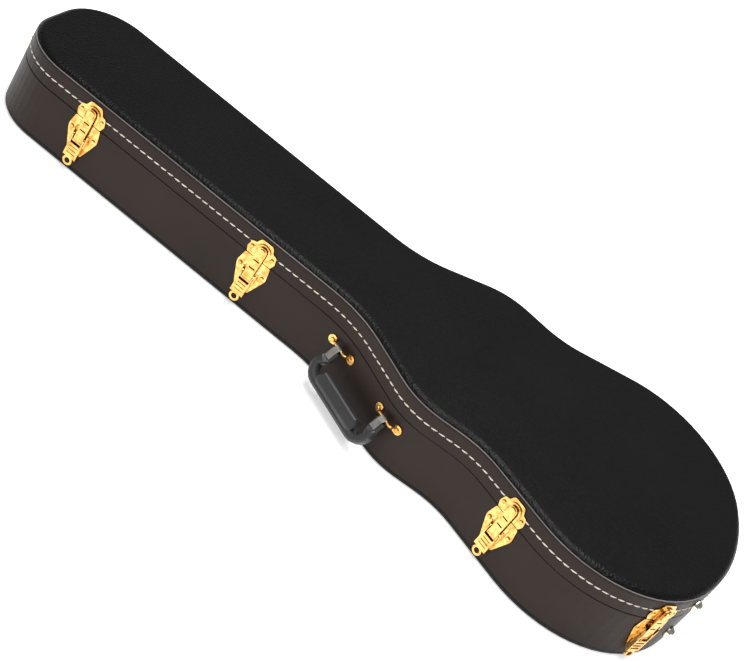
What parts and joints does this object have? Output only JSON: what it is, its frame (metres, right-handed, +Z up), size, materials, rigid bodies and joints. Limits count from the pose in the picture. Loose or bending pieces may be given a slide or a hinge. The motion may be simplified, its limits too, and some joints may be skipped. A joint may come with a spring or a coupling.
{
  "type": "electric guitar case",
  "caption": "Shaped hardshell case for an electric guitar, closed, with carrying handle, drawbolt latches, hinges and padded interior.",
  "frame": {"origin": "centre of the underside, midway along the length and the width", "axes": "+X to the tail (wide end), +Y to the hinge side, -Y to the handle, +Z up"},
  "size_m": [1.067, 0.4118, 0.114],
  "materials": {
    "brown_vinyl": "smooth satin vinyl",
    "black_tolex": "pebbled satin",
    "piping": "satin",
    "plush": "short pile",
    "lip_cloth": "matte",
    "gold": "polished",
    "nickel": "polished",
    "handle_plastic": "satin, fine grain"
  },
  "bodies": {
    "base": {"base_lining": "plush", "base_lip": "lip_cloth", "base_wall": "brown_vinyl", "bottom_panel": "black_tolex", "box_wall_head": "plush", "box_wall_tail": "plush", "foot_base_far": "nickel", "foot_base_near": "nickel", "handle_bracket_1": "gold", "handle_bracket_2": "gold", "hinge_1_base_leaf": "gold", "hinge_1_pin": "gold", "hinge_2_base_leaf": "gold", "hinge_2_pin": "gold", "hinge_3_base_leaf": "gold", "hinge_3_pin": "gold", "latch_1_plate": "gold", "latch_2_plate": "gold", "latch_3_plate": "gold", "latch_4_plate": "gold", "neck_rest": "plush"},
    "lid": {"foot_lid_far": "nickel", "foot_lid_near": "nickel", "hinge_1_lid_leaf": "gold", "hinge_2_lid_leaf": "gold", "hinge_3_lid_leaf": "gold", "latch_1_catch": "gold", "latch_2_catch": "gold", "latch_3_catch": "gold", "latch_4_catch": "gold", "lid_lining": "plush", "lid_panel": "black_tolex", "lid_piping": "piping", "lid_wall": "brown_vinyl"},
    "handle": {"handle_clip_1": "nickel", "handle_clip_2": "nickel", "handle_grip": "handle_plastic"},
    "box_cover": {"box_lid": "plush", "box_lid_tab": "lip_cloth"},
    "latch_1_lever": {"latch_1_lever": "gold"},
    "latch_1_hook": {"latch_1_hook": "gold"},
    "latch_2_lever": {"latch_2_lever": "gold"},
    "latch_2_hook": {"latch_2_hook": "gold"},
    "latch_3_lever": {"latch_3_lever": "gold"},
    "latch_3_hook": {"latch_3_hook": "gold"},
    "latch_4_lever": {"latch_4_lever": "gold"},
    "latch_4_hook": {"latch_4_hook": "gold"}
  },
  "joints": [
    {"name": "lid_hinge", "type": "hinge", "parent": "base", "child": "lid", "pos_m": [0.00528, 0.15896, 0.076], "axis": [-0.9918, -0.1277, 0], "range_deg": [0, 100]},
    {"name": "handle_swing", "type": "hinge", "parent": "base", "child": "handle", "pos_m": [0.05784, -0.13398, 0.06], "axis": [-0.8781, 0.4785, 0], "range_deg": [0, 126]},
    {"name": "box_lid_lift", "type": "slide", "parent": "base", "child": "box_cover", "axis": [0, 0, 1], "range_m": [0, 0.04]},
    {"name": "latch_1_lever_turn", "type": "hinge", "parent": "base", "child": "latch_1_lever", "pos_m": [-0.39579, -0.09818, 0.053], "axis": [-1, -0.0035, 0], "range_deg": [0, 95]},
    {"name": "latch_1_hook_turn", "type": "hinge", "parent": "latch_1_lever", "child": "latch_1_hook", "pos_m": [-0.39579, -0.09818, 0.046], "axis": [1, 0.0035, 0], "range_deg": [0, 114]},
    {"name": "latch_2_lever_turn", "type": "hinge", "parent": "base", "child": "latch_2_lever", "pos_m": [-0.1318, -0.09724, 0.053], "axis": [-1, -0.0035, 0], "range_deg": [0, 95]},
    {"name": "latch_2_hook_turn", "type": "hinge", "parent": "latch_2_lever", "child": "latch_2_hook", "pos_m": [-0.1318, -0.09724, 0.046], "axis": [1, 0.0035, 0], "range_deg": [0, 114]},
    {"name": "latch_3_lever_turn", "type": "hinge", "parent": "base", "child": "latch_3_lever", "pos_m": [0.28187, -0.18219, 0.053], "axis": [-0.936, 0.3521, 0], "range_deg": [0, 95]},
    {"name": "latch_3_hook_turn", "type": "hinge", "parent": "latch_3_lever", "child": "latch_3_hook", "pos_m": [0.28187, -0.18219, 0.046], "axis": [0.936, -0.3521, 0], "range_deg": [0, 114]},
    {"name": "latch_4_lever_turn", "type": "hinge", "parent": "base", "child": "latch_4_lever", "pos_m": [0.48946, -0.15111, 0.053], "axis": [-0.6678, -0.7443, 0], "range_deg": [0, 95]},
    {"name": "latch_4_hook_turn", "type": "hinge", "parent": "latch_4_lever", "child": "latch_4_hook", "pos_m": [0.48946, -0.15111, 0.046], "axis": [0.6678, 0.7443, 0], "range_deg": [0, 114]}
  ],
  "couplings": [
    {"joint": "latch_1_hook_turn", "follows": "latch_1_lever_turn", "ratio": 1.2},
    {"joint": "latch_2_hook_turn", "follows": "latch_2_lever_turn", "ratio": 1.2},
    {"joint": "latch_3_hook_turn", "follows": "latch_3_lever_turn", "ratio": 1.2},
    {"joint": "latch_4_hook_turn", "follows": "latch_4_lever_turn", "ratio": 1.2}
  ]
}
